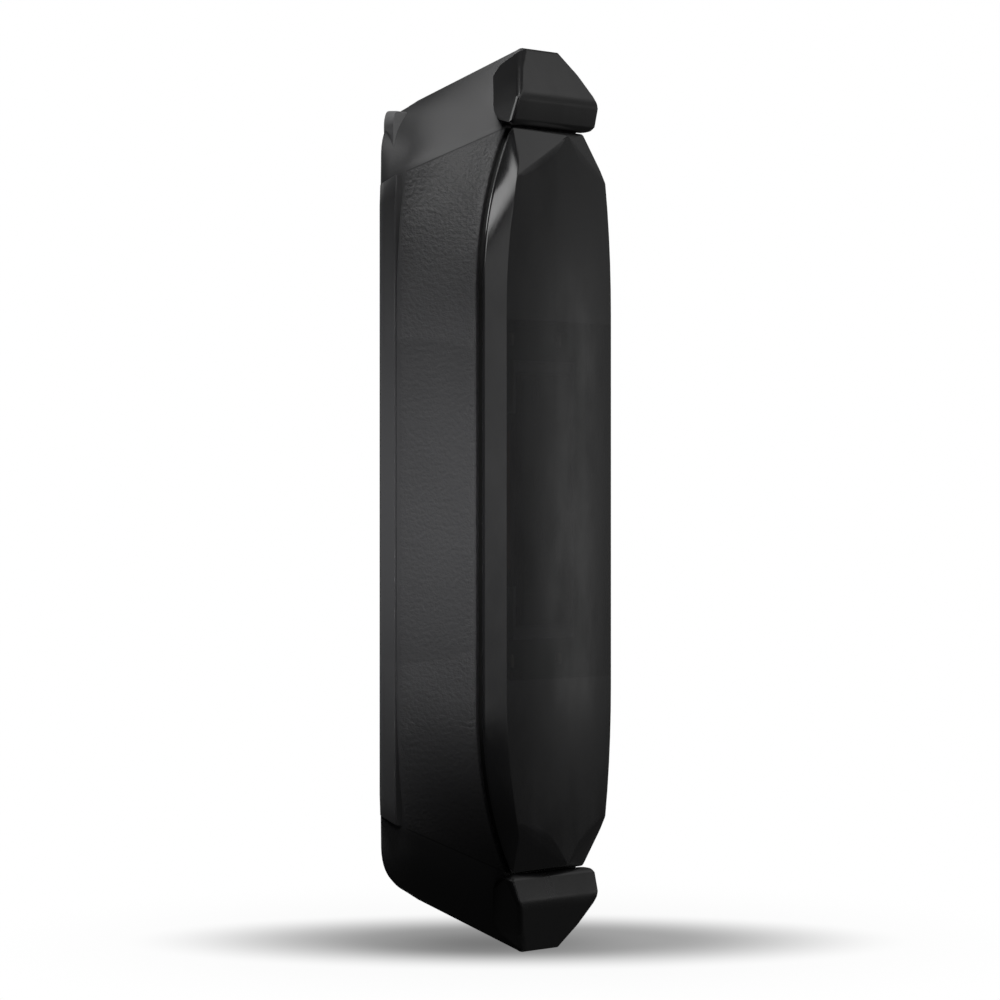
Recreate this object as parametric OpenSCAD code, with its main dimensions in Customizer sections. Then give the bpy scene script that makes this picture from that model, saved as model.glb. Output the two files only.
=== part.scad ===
// Strap-on cycling computer pod: a shallow case with an inward-facing strap hook at
// each end, a smoked front cover, a coin cell behind a quick-thread door, and a grip pad.
// Each module is drawn lying on its back: x across, y along the pod, z the depth from
// the mounting face. stand_up() then turns the depth towards -Y, so +Z runs along the pod.

/* [Pod] */
// Overall length, from hook tip to hook tip
pod_len = 53; // [52:0.5:56]
// Width over the edge rails
pod_w = 30; // [29.8:0.1:31]
// Width of the case between the rails and the front rim
case_w = 29.2; // [29:0.1:29.6]
// Depth of the case's back skin, just proud of which the pad stands
back_d = 0.15; // [0.1:0.05:0.2]
// Depth of the case's front rim
rim_d = 5.8; // [5.7:0.05:6]
// Depth of the cover's front at its side edges, just behind the fronts of the hooks
front_d = 6.9; // [6.8:0.05:7]
// Rise of the cover's crown above its side edges
crown = 0.5; // [0.3:0.05:0.6]
// Thickness of the case's side walls
wall = 1.35; // [1.2:0.05:1.5]

/* [Battery door] */
// Radius of the door's flange
door_r = 11.9; // [11.8:0.05:12]
// Rise of the door's quick thread in one turn
thread_lead = 6; // [5.5:0.1:6.5]
// Number of thread lugs round the door
lugs = 3; // [3:1:3]
// Angle that each lug spans
lug_span = 50; // [30:5:55]

/* [Coin cell] */
// Radius of the cell
cell_r = 10; // [9.9:0.05:10]
// Thickness of the cell
cell_h = 3.2; // [3:0.1:3.2]

/* [Display] */
// Width of the display's glass
display_w = 12.6; // [11:0.1:13]
// Height of the display's glass
display_h = 14.8; // [13:0.1:16]

/* [Hidden] */

$fn = 96;
slice_h = 0.01;           // thickness of a slice that a hull joins
round_fn = 12;            // facets on the small balls that round the hook
half_len = pod_len / 2;
rail_half = pod_w / 2;
case_half = case_w / 2;
gap = 0.05;               // clearance between two fixed pieces
run_gap = 0.06;           // radial clearance of a piece that moves

// Case outlines
rim_start = 12;           // height where the rim begins to curve inwards
rim_top = half_len - 4.75;
rim_rate = 0.0506;        // the rim curves in by rate * rise ^ power
rim_power = 2.13;
back_top = half_len - 3.3;
back_rx = 9;              // the back outline's elliptical corner
back_ry = 3.6;
edge_inset = 0.6;         // how far the back edge is drawn in
edge_d = 1.1;             // depth at which the back edge has its full size
rail_len = 17.6;          // half length of the edge rails
floor_d = 1.4;

// Hooks
hook_half = 3.5;          // half width of the hook's tip
hook_tip_d = rim_d + 0.2;
ear_half = 9.2;           // half width across the flared ears
ear_z = half_len - 3.1;
ear_d = front_d + 0.15;
lip_z = rim_top + 0.35;   // underside of the hook's lip, at its root
ball = 0.35;

// Rear pad
pad_t = 0.6;
pad_half = 13.4;
pad_tab_half = 13.6;
pad_tab_top = half_len - 3.7;
pad_hole_r = 12.5;

// Door
door_out_d = 0.25;
door_in_d = 1.2;
bore_r = door_r + 0.1;
thread_bore_r = 11.65;
thread_start_d = 1.4;
tooth = 0.5;              // thickness of a ledge or a lug along the axis
tooth_gap = 0.08;
skirt_in_r = cell_r + 0.15;
skirt_out_r = 10.9;
skirt_top_d = 3.35;
lug_r = 11.5;
ledge_r = 11.05;
well_r = 13.4;
well_top_d = 3.6;
seal_r = 0.22;            // radius of the door seal's cord
seal_ring_r = bore_r - run_gap - seal_r;
seal_d = 0.72;
groove = 0.24;
slot_len = 13;
slot_w = 1.7;
slot_deep = 0.45;

// Cell
cell_d = door_in_d + gap;
cell_top_d = cell_d + cell_h;
cap_r = 8.9;
cap_seat = 0.75;          // how deep the cap sits in the can
can_lip = 0.25;           // how far the can stops short of the cap

// Board and what is on it
board_d = 4.75;
board_t = 0.6;
board_top = board_d + board_t;
board_inset = wall + 0.35;
screw_x = 9.8;
screw_y = 15.4;
screw_r = 0.5;
boss_r = 1.5;
peg_r = 0.4;
peg_ring_r = 10.8;
cradle_in_r = 10.35;
cradle_out_r = 11.4;
cradle_d = 3.5;
contact_t = 0.15;
frame_rim = 0.7;
frame_top = board_top + 0.6;
flex_gap = 5;             // half height of the frame's gap for the flex

// Cover
cover_d = rim_d + 0.3;
face_half = 11.8;         // the front face's outline
face_top = half_len - 7.8;
face_rx = 3.4;
face_ry = 3;
gable_half = 6.6;
gable_top = rim_top - 0.45;
skirt_d = board_top + 0.1;

// ---------------------------------------------------------------- outlines

// A full outline from its first quarter, listed from the side to the top.
function all_quarters(q) = concat(
    q,
    [for (i = [len(q) - 1:-1:0]) [-q[i][0], q[i][1]]],
    [for (p = q) [-p[0], -p[1]]],
    [for (i = [len(q) - 1:-1:0]) [q[i][0], -q[i][1]]]);

// Quarter of a rectangle with an elliptical corner.
function oval_quarter(half_w, half_h, rx, ry, steps = 10) =
    [for (i = [0:steps]) let (t = 90 * i / steps)
        [half_w - rx + rx * cos(t), half_h - ry + ry * sin(t)]];

function back_outline(inset) = all_quarters(
    oval_quarter(case_half - inset, back_top - inset, back_rx - inset, back_ry - inset));

function face_outline(inset) = all_quarters(
    oval_quarter(face_half - inset, face_top - inset, face_rx - inset, face_ry - inset));

// The rim runs straight, then curves in to a flat end. Insets are square to the curve.
function rim_point(h, inset) = let (
    rise = h - rim_start,
    slope = rim_rate * rim_power * pow(rise, rim_power - 1),
    k = inset / sqrt(1 + slope * slope))
    [case_half - rim_rate * pow(rise, rim_power) - k, min(h - k * slope, rim_top - inset)];

function rim_outline(inset, steps = 12) = all_quarters(
    [for (i = [0:steps]) rim_point(rim_start + (rim_top - rim_start) * i / steps, inset)]);

// The front face is crowned across, and its ends are gabled: they rise to the middle.
function crown_d(w) = front_d + crown * (1 - pow(w / face_half, 2));

function crown_top(w) = face_top + (gable_top - face_top) * max(0, 1 - w / gable_half);

function crown_outline(w) = [[w, crown_top(w)], [-w, crown_top(w)], [-w, -crown_top(w)], [w, -crown_top(w)]];

function upper(points, from) = [for (p = points) if (p[1] > from) p];

// ---------------------------------------------------------------- helpers

module stand_up() rotate([90, 0, 0]) children();

module slice(points, d) translate([0, 0, d]) linear_extrude(slice_h) polygon(points);

module layer(points, d0, d1) translate([0, 0, d0]) linear_extrude(d1 - d0) polygon(points);

module disc(r, d0, d1) translate([0, 0, d0]) cylinder(h = d1 - d0, r = r);

module ring(r_in, r_out, d0, d1) difference() {
    disc(r_out, d0, d1);
    disc(r_in, d0 - 1, d1 + 1);
}

// A box by its centre, size and the depths it spans.
module block(x, y, w, h, d0, d1) translate([x - w / 2, y - h / 2, d0]) cube([w, h, d1 - d0]);

module both_ends() for (s = [0, 1]) rotate([0, 0, 180 * s]) children();

module screw_places() for (x = [-screw_x, screw_x], y = [-screw_y, screw_y])
    translate([x, y, 0]) children();

// A strip of quick thread: it climbs by thread_lead in a turn.
module thread_strip(from, r_in, r_out, d, steps = 10) {
    stations = [for (i = [0:steps]) let (t = lug_span * i / steps) [from + t, d + thread_lead * t / 360]];
    points = [for (s = stations, corner = [[r_in, 0], [r_out, 0], [r_out, tooth], [r_in, tooth]])
        [corner[0] * cos(s[0]), corner[0] * sin(s[0]), s[1] + corner[1]]];
    sides = [for (i = [0:steps - 1], k = [0:3]) let (a = 4 * i + k, b = 4 * i + (k + 1) % 4)
        each [[a, b, a + 4], [b, b + 4, a + 4]]];
    last = 4 * steps;
    ends = [[2, 1, 0], [3, 2, 0], [last, last + 1, last + 2], [last, last + 2, last + 3]];
    polyhedron(points = points, faces = concat(sides, ends));
}

module thread_ring(r_in, r_out, d) for (k = [0:lugs - 1])
    thread_strip(360 * k / lugs, r_in, r_out, d);

// ---------------------------------------------------------------- case

module case_body() {
    hull() {
        slice(back_outline(edge_inset), back_d);
        slice(back_outline(0), edge_d);
        slice(rim_outline(0), rim_d - slice_h);
    }
    edge_rails();
    both_ends() {
        hook_neck();
        hook_lip();
    }
}

// The rails stand out a little along the back edges.
module edge_rails() {
    straight = [[rail_half, rail_len], [-rail_half, rail_len], [-rail_half, -rail_len], [rail_half, -rail_len]];
    drawn_in = [for (p = straight) [p[0] - sign(p[0]) * 0.8, p[1] - sign(p[1]) * 0.4]];
    hull() {
        slice(drawn_in, back_d);
        slice(straight, 0.9);
        slice(straight, 1.2);
        slice(drawn_in, 2);
    }
}

// The slope that the strap runs over, from the back up to the hook's tip.
module hook_neck() hull() {
    slice(upper(back_outline(edge_inset), rail_len), back_d);
    slice(upper(back_outline(0), rail_len), edge_d);
    slice(upper(rim_outline(0), rail_len), rim_d - slice_h);
    block(0, half_len - 0.1, 2 * hook_half, 0.2, rim_d - 0.2, rim_d);
}

// The flared lip that keeps the strap on: its ears are wider than the neck behind them.
module hook_lip() hull() for (s = [-1, 1]) {
    lip_ball(s * (hook_half + 0.6), half_len - 1.1, 4.1, -1);
    lip_ball(s * 7.7, lip_z + 1, 4.6, -1);
    lip_ball(s * 8, lip_z, 5.4, 1);
    lip_ball(s * (hook_half + 0.3), half_len, hook_tip_d, -1);
    lip_ball(s * ear_half, ear_z, ear_d, -1);
    lip_ball(s * ear_half, lip_z + 0.1, ear_d, 1);
    lip_ball(s * (ear_half - 0.7), lip_z - 0.3, ear_d - 0.15, 1);
}

// A small ball that touches the planes through the given point from inside. The side
// says whether the point's height is the ball's lower (1) or upper (-1) limit.
module lip_ball(x, y, d, side) translate([x - sign(x) * ball, y + side * ball, d - ball])
    sphere(r = ball, $fn = round_fn);

module rear_case() {
    color("#2b2b2c") stand_up() difference() {
        union() {
            difference() {
                case_body();
                layer(rim_outline(wall), floor_d, rim_d + 1);
            }
            disc(well_r, floor_d - 0.2, well_top_d);
            screw_places() disc(boss_r, floor_d - 0.2, board_d);
        }
        pad_shape(gap, -1, pad_t);
        disc(bore_r, -1, thread_start_d - 0.05);
        difference() {
            disc(thread_bore_r, -1, well_top_d + 1);
            thread_ring(ledge_r, thread_bore_r + 0.2, thread_start_d);
        }
        screw_places() disc(screw_r + 0.02, 2.6, board_d + 1);
    }
}

module pad_shape(grow, d0, d1) {
    bottom = -rail_len;
    points = [[pad_half + grow, bottom - grow], [pad_half + grow, rail_len],
        [pad_tab_half + grow, rail_len], [pad_tab_half + grow, pad_tab_top + grow],
        [-pad_tab_half - grow, pad_tab_top + grow], [-pad_tab_half - grow, rail_len],
        [-pad_half - grow, rail_len], [-pad_half - grow, bottom - grow]];
    layer(points, d0, d1);
}

module rear_pad() color("#4a4a4b") stand_up() difference() {
    pad_shape(0, 0, pad_t - 0.02);
    disc(pad_hole_r, -1, pad_t + 1);
    for (row = [-1, 1], k = [0:2]) block(0, row * (14 + 1.2 * k), 18, 0.4, -1, 0.2);
    translate([0, 13.1, -1]) cylinder(h = 1.2, r = 0.35);
    translate([3.4, 12.7, -1]) cylinder(h = 1.2, r = 0.35);
}

module front_cover() color("#1a1a1b") stand_up() {
    hull() {
        slice(rim_outline(0.1), cover_d);
        slice(rim_outline(0.1), cover_d + 0.12);
        slice(face_outline(0), front_d - slice_h);
        for (w = [9, 6.6, 4, 2, 0.1]) slice(crown_outline(w), crown_d(w) - slice_h);
    }
    difference() {
        layer(rim_outline(wall + 0.1), skirt_d, cover_d + 0.05);
        layer(rim_outline(wall + 0.7), skirt_d - 1, cover_d + 0.2);
    }
}

module cover_gasket() color("#050505") stand_up() difference() {
    layer(rim_outline(0.35), rim_d, cover_d);
    layer(rim_outline(wall - 0.1), rim_d - 1, cover_d + 1);
}

// ---------------------------------------------------------------- door and cell

module battery_door() color("#242425") stand_up() difference() {
    union() {
        disc(door_r, door_out_d, door_in_d);
        ring(skirt_in_r, skirt_out_r, door_in_d - 0.1, skirt_top_d);
        thread_ring(skirt_out_r - 0.2, lug_r, thread_start_d + tooth + tooth_gap);
    }
    ring(seal_ring_r - groove, door_r + 1, seal_d - groove, seal_d + groove);
    block(0, 0, slot_len, slot_w, -1, door_out_d + slot_deep);
    translate([0, 9.2, -1]) linear_extrude(1 + door_out_d + 0.15) polygon([[0, 1.1], [-0.9, -0.5], [0.9, -0.5]]);
}

module door_seal() color("#7a3b1e") stand_up() translate([0, 0, seal_d])
    rotate_extrude() translate([seal_ring_r, 0]) circle(r = seal_r, $fn = 24);

module cell_can() color("#c9cbcc") stand_up() difference() {
    disc(cell_r, cell_d, cell_top_d - can_lip);
    disc(cap_r + 0.35, cell_top_d - cap_seat, cell_top_d);
}

module cell_seal() color("#d8d4c8") stand_up()
    ring(cap_r + 0.02, cap_r + 0.33, cell_top_d - cap_seat, cell_top_d - can_lip + 0.05);

module cell_cap() color("#b4b6b8") stand_up() {
    disc(cap_r, cell_top_d - cap_seat, cell_top_d - 0.1);
    disc(cap_r - 0.4, cell_top_d - 0.15, cell_top_d);
}

module cell_cradle() color("#e6e2d6") stand_up() {
    difference() {
        ring(cradle_in_r, cradle_out_r, cradle_d, board_d);
        for (s = [-1, 1]) block(s * cell_r, 0, 4, 6.4, cradle_d - 1, board_d + 1);
    }
    for (a = [60, 120, 240, 300]) rotate([0, 0, a]) translate([peg_ring_r, 0, 0])
        disc(peg_r - 0.03, board_d - 0.1, board_top + 0.15);
}

// A spring leaf: soldered at one end, bowed down to press on the cell's cap.
module negative_contact() color("#cfae5a") stand_up() {
    half_w = 1.2;
    bow = board_d - cell_top_d - contact_t - 0.02;
    steps = 12;
    leaf = [for (i = [0:steps]) [-5 + 8 * i / steps, board_d - contact_t - bow * (1 - cos(360 * i / steps)) / 2]];
    rotate([90, 0, 0]) translate([0, 0, -half_w]) linear_extrude(2 * half_w)
        polygon(concat(leaf, [for (i = [steps:-1:0]) [leaf[i][0], leaf[i][1] + contact_t - 0.01]]));
    block(-6, 0, 2.2, 3.2, board_d - contact_t, board_d - 0.01);
}

// A stamped strap with two spring arms that grip the can's side.
module positive_contact() color("#cfae5a") stand_up() for (s = [0, 1]) rotate([0, 0, 180 * s]) {
    difference() {
        ring(cell_r + 0.04, cell_r + 0.04 + contact_t, cradle_d + 0.1, board_d - 0.02);
        translate([0, 0, 4]) cube([2 * (cell_r - 1), 60, 10], center = true);
        translate([-20, 0, 4]) cube([40, 60, 10], center = true);
        for (side = [-1, 1]) block(cell_r, side * 13, 10, 20, 0, 10);
    }
    block(cell_r + 0.55, 0, 0.9, 2.4, board_d - contact_t - 0.02, board_d - 0.02);
}

module cell_insulator() color("#a86a1c") stand_up() difference() {
    disc(8.4, board_d - 0.12, board_d - 0.02);
    block(-2, 0, 11, 4.4, 0, 10);
}

// ---------------------------------------------------------------- electronics

module main_board() color("#1d4a2c") stand_up() difference() {
    layer(rim_outline(board_inset), board_d, board_top);
    screw_places() disc(screw_r + 0.15, board_d - 1, board_top + 1);
    for (a = [60, 120, 240, 300]) rotate([0, 0, a]) translate([peg_ring_r, 0, 0])
        disc(peg_r, board_d - 1, board_top + 1);
}

module board_screws() color("#9a9c9e") stand_up() screw_places() difference() {
    union() {
        disc(screw_r, 2.8, board_top + 0.1);
        disc(1.1, board_top + 0.01, board_top + 0.5);
    }
    block(0, 0, 1.2, 0.3, board_top + 0.25, board_top + 1);
    block(0, 0, 0.3, 1.2, board_top + 0.25, board_top + 1);
}

module display_frame() color("#6e6f70") stand_up() difference() {
    block(0, 0, display_w + 2 * frame_rim, display_h + 2 * frame_rim, board_top + 0.01, frame_top);
    block(0, 0, display_w + 0.1, display_h + 0.1, board_top + 0.12, frame_top + 1);
    block(-display_w / 2, 0, 3, 2 * flex_gap, board_top - 1, frame_top + 1);
}

module display_glass() color("#3a4038") stand_up() {
    block(0.5, 0, display_w - 1.4, display_h - 0.2, board_top + 0.14, frame_top - 0.05);
    block(0, 0, display_w - 0.2, display_h - 0.2, board_top + 0.14, board_top + 0.3);
}

module display_driver() color("#101011") stand_up()
    block(-display_w / 2 + 0.45, 2, 0.6, 5, board_top + 0.32, frame_top - 0.05);

module display_flex() color("#b5701d") stand_up() {
    block(-display_w / 2 - 0.9, 0, 1.7, 8, board_top + 0.14, board_top + 0.24);
    block(-display_w / 2 - 2.2, 0, 1.1, 8.6, board_top + 0.01, board_top + 0.5);
}

module radio_module() color("#161617") stand_up() {
    block(0, 13.6, 7, 6, board_top + 0.01, board_top + 0.2);
    block(-1, 13.6, 3.2, 3.2, board_top + 0.19, board_top + 0.42);
}

module radio_shield() color("#b9bbbd") stand_up() difference() {
    block(0, 13.6, 8, 7, board_top + 0.01, board_top + 0.6);
    block(0, 13.6, 7.6, 6.6, board_top - 1, board_top + 0.5);
    for (x = [-2.4, 0, 2.4]) translate([x, 15.6, 0]) disc(0.3, board_top, board_top + 2);
}

module chip_antenna() color("#e9e7e0") stand_up() {
    block(0, 18.9, 5, 1.3, board_top + 0.01, board_top + 0.55);
    for (s = [-1, 1]) block(s * 2.75, 18.9, 0.48, 1.3, board_top + 0.01, board_top + 0.5);
}

module motion_sensor() color("#151516") stand_up() block(-4, -11.5, 2.5, 3, board_top + 0.01, board_top + 0.6);

module timing_crystal() color("#c8cacb") stand_up() block(5.6, 10.8, 1.2, 2, board_top + 0.01, board_top + 0.5);

module status_led() color("#e8efe6") stand_up() {
    block(0, -17.4, 1.6, 0.8, board_top + 0.01, board_top + 0.25);
    block(0, -17.4, 1.1, 0.8, board_top + 0.24, board_top + 0.6);
}

module reserve_capacitor() color("#7d6a4a") stand_up() block(0, 16.6, 7.3, 4.3, board_d - 2.4, board_d - 0.01);

module board_passives() color("#8d8674") stand_up() {
    for (k = [0:4]) block(3 + 1.3 * k, -11, 0.5, 1, board_top + 0.01, board_top + 0.36);
    for (k = [0:3]) block(-8.6, 10.2 + 1.1 * k, 1, 0.5, board_top + 0.01, board_top + 0.36);
    for (k = [0:2]) block(4.4, -14.6 - 1.1 * k, 1.6, 0.8, board_top + 0.01, board_top + 0.5);
}

// ---------------------------------------------------------------- parts

rear_case();
front_cover();
cover_gasket();
rear_pad();
battery_door();
door_seal();
cell_can();
cell_seal();
cell_cap();
cell_cradle();
negative_contact();
positive_contact();
cell_insulator();
main_board();
board_screws();
display_frame();
display_glass();
display_driver();
display_flex();
radio_module();
radio_shield();
chip_antenna();
motion_sensor();
timing_crystal();
status_led();
reserve_capacitor();
board_passives();
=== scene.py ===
"""Strap-on cycling computer pod: its looks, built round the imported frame.

X runs across the pod, Z along it, and the depth from the mounting face runs towards -Y.
Sizes in the classes are millimetres, given as (across, depth, up), and place() turns them
into the frame's metres.
"""
from __future__ import annotations

import logging
import math
from dataclasses import dataclass
from enum import Enum
from typing import Callable, Sequence

import bpy
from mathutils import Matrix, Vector

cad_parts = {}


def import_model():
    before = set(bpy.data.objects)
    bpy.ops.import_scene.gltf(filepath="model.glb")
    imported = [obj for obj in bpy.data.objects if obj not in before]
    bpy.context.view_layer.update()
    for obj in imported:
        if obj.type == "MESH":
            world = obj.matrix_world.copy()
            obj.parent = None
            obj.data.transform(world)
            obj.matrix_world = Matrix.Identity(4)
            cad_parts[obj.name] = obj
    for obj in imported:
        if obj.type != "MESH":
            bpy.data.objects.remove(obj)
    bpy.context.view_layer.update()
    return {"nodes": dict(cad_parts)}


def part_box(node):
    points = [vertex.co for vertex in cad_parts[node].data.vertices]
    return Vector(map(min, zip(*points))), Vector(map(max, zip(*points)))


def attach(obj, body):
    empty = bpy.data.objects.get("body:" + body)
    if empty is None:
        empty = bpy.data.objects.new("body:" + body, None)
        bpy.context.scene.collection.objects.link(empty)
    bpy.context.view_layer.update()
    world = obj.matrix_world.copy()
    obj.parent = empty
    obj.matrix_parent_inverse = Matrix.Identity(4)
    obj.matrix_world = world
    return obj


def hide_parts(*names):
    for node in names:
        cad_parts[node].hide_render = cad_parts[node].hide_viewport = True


LOG = logging.getLogger("pod")
MM = 0.001
FULL_TURN = 2 * math.pi
MERGE_DISTANCE = 0.002 * MM
FLAT_WITHIN = 0.4
THREAD_END = 0.72
WHITE = (1.0, 1.0, 1.0, 1.0)

# About where the walls fold into the end slopes: the height at the back, and how much
# further out the fold is for each millimetre of depth.
FOLD_START = 18.15
FOLD_RATE = 0.575

Point = tuple[float, float, float]
Flat = tuple[float, float]


class Body(Enum):
    """The bodies that pieces ride on."""

    POD = "pod"
    CELL = "cell"
    DOOR = "door"


class Side(Enum):
    """The pod's two long sides."""

    LEFT = -1
    RIGHT = 1


class End(Enum):
    """The pod's two ends."""

    UPPER = 1
    LOWER = -1


# ---------------------------------------------------------------- shader helpers


def linear(code: str) -> tuple[float, float, float, float]:
    """Turn an sRGB hex colour into a linear one.

    Args:
        code: The colour as rrggbb.

    Returns:
        Red, green, blue and alpha, linear.
    """
    parts = [int(code[i : i + 2], 16) / 255 for i in (0, 2, 4)]
    turned = [c / 12.92 if c <= 0.04045 else ((c + 0.055) / 1.055) ** 2.4 for c in parts]
    return (*turned, 1.0)


def add_node(
    tree: bpy.types.NodeTree,
    kind: str,
    settings: dict[str, object] | None = None,
    values: dict[str | int, object] | None = None,
    links: dict[str | int, bpy.types.NodeSocket] | None = None,
) -> bpy.types.Node:
    """Add a node with its settings, socket values and incoming links.

    Args:
        tree: The node tree it goes in.
        kind: The node's type.
        settings: Attributes of the node.
        values: Values of its input sockets.
        links: The sockets that feed its inputs.

    Returns:
        The new node.
    """
    node = tree.nodes.new(kind)
    for name, value in (settings or {}).items():
        setattr(node, name, value)
    for name, value in (values or {}).items():
        node.inputs[name].default_value = value
    for name, source in (links or {}).items():
        tree.links.new(source, node.inputs[name])
    return node


def start_material(name: str) -> tuple[bpy.types.Material, bpy.types.NodeTree, bpy.types.NodeSocket]:
    """Make an empty node material.

    Args:
        name: The material's name.

    Returns:
        The material, its tree and the object coordinates.
    """
    material = bpy.data.materials.new(name)
    material.use_nodes = True
    tree = material.node_tree
    tree.nodes.clear()
    place_node = add_node(tree, "ShaderNodeTexCoord")
    return material, tree, place_node.outputs["Object"]


def end_material(tree: bpy.types.NodeTree, shader: bpy.types.NodeSocket) -> None:
    """Link the shader to the material's output."""
    add_node(tree, "ShaderNodeOutputMaterial", links={"Surface": shader})


def two_tone(
    tree: bpy.types.NodeTree, factor: bpy.types.NodeSocket, low: object, high: object
) -> bpy.types.NodeSocket:
    """Blend two colours by a factor.

    Args:
        tree: The node tree.
        factor: 0 for the low colour, 1 for the high one.
        low: A colour or a colour socket.
        high: A colour or a colour socket.

    Returns:
        The blended colour.
    """
    sockets = {6: low, 7: high}
    values = {k: v for k, v in sockets.items() if not isinstance(v, bpy.types.NodeSocket)}
    links = {k: v for k, v in sockets.items() if isinstance(v, bpy.types.NodeSocket)}
    mix = add_node(tree, "ShaderNodeMix", {"data_type": "RGBA"}, values, {0: factor, **links})
    return mix.outputs[2]


def calc(tree: bpy.types.NodeTree, operation: str, *operands: object) -> bpy.types.NodeSocket:
    """Work out a number from numbers and sockets.

    Args:
        tree: The node tree.
        operation: The math node's operation.
        operands: Numbers or sockets.

    Returns:
        The result's socket.
    """
    values = {i: v for i, v in enumerate(operands) if not isinstance(v, bpy.types.NodeSocket)}
    links = {i: v for i, v in enumerate(operands) if isinstance(v, bpy.types.NodeSocket)}
    node = add_node(tree, "ShaderNodeMath", {"operation": operation}, values, links)
    return node.outputs[0]


def grain(
    tree: bpy.types.NodeTree, coords: bpy.types.NodeSocket, size_mm: float, detail: float = 3.0
) -> bpy.types.NodeSocket:
    """Make noise.

    Args:
        tree: The node tree.
        coords: Object coordinates.
        size_mm: About how wide its lumps are.
        detail: How many finer layers it has.

    Returns:
        The noise, from 0 to 1.
    """
    values = {"Scale": 1 / (size_mm * MM), "Detail": detail, "Roughness": 0.55}
    return add_node(tree, "ShaderNodeTexNoise", None, values, {"Vector": coords}).outputs["Fac"]


def spread(
    tree: bpy.types.NodeTree, source: bpy.types.NodeSocket, low: float, high: float
) -> bpy.types.NodeSocket:
    """Map noise, which mostly lies between 0.3 and 0.7, onto a range.

    Args:
        tree: The node tree.
        source: The noise.
        low: What 0.3 becomes.
        high: What 0.7 becomes.

    Returns:
        The mapped noise.
    """
    values = {"From Min": 0.3, "From Max": 0.7, "To Min": low, "To Max": high}
    return add_node(tree, "ShaderNodeMapRange", None, values, {"Value": source}).outputs[0]


def bumps(
    tree: bpy.types.NodeTree, height: bpy.types.NodeSocket, depth_mm: float, strength: float = 1.0
) -> bpy.types.NodeSocket:
    """Make a bumpy normal.

    Args:
        tree: The node tree.
        height: The bumps' height, from 0 to 1.
        depth_mm: The height that 1 stands for.
        strength: How far the bumps show.

    Returns:
        The normal.
    """
    values = {"Strength": strength, "Distance": depth_mm * MM}
    return add_node(tree, "ShaderNodeBump", None, values, {"Height": height}).outputs[0]


def blend_shaders(
    tree: bpy.types.NodeTree,
    share: bpy.types.NodeSocket,
    low: bpy.types.NodeSocket,
    high: bpy.types.NodeSocket,
) -> bpy.types.NodeSocket:
    """Blend two shaders.

    Args:
        tree: The node tree.
        share: 0 for the low shader, 1 for the high one.
        low: A shader.
        high: A shader.

    Returns:
        The blended shader.
    """
    return add_node(tree, "ShaderNodeMixShader", links={0: share, 1: low, 2: high}).outputs[0]


# ---------------------------------------------------------------- finishes


@dataclass(frozen=True)
class Moulded:
    """A moulded plastic or rubber: mottled colour, uneven sheen and a fine grain."""

    name: str
    color: str
    roughness: float
    ior: float = 1.5
    mottle: str = "000000"
    mottle_share: float = 0.12
    grain_mm: float = 0.25
    grain_depth_mm: float = 0.01
    sheen: float = 0.0
    patch_mm: float = 6.0
    unevenness: float = 0.04

    def material(self) -> bpy.types.Material:
        """Build the material.

        Returns:
            The material.
        """
        material, tree, coords = start_material(self.name)
        end_material(tree, self.shader(tree, coords, None))
        return material

    def shader(
        self,
        tree: bpy.types.NodeTree,
        coords: bpy.types.NodeSocket,
        strength: bpy.types.NodeSocket | None,
    ) -> bpy.types.NodeSocket:
        """Build the shader.

        Args:
            tree: The material's tree.
            coords: Object coordinates.
            strength: How far the grain shows, from 0 to 1, or None for all over.

        Returns:
            The shader's socket.
        """
        fine = grain(tree, coords, self.grain_mm)
        broad = grain(tree, coords, self.patch_mm, 2.0)
        share = spread(tree, broad, 0.0, self.mottle_share)
        color = two_tone(tree, share, linear(self.color), linear(self.mottle))
        rough = spread(tree, broad, self.roughness - self.unevenness, self.roughness + self.unevenness)
        height = fine if strength is None else calc(tree, "MULTIPLY", fine, strength)
        normal = bumps(tree, height, self.grain_depth_mm)
        values = {"IOR": self.ior, "Sheen Weight": self.sheen}
        links = {"Base Color": color, "Roughness": rough, "Normal": normal}
        return add_node(tree, "ShaderNodeBsdfPrincipled", None, values, links).outputs[0]


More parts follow.
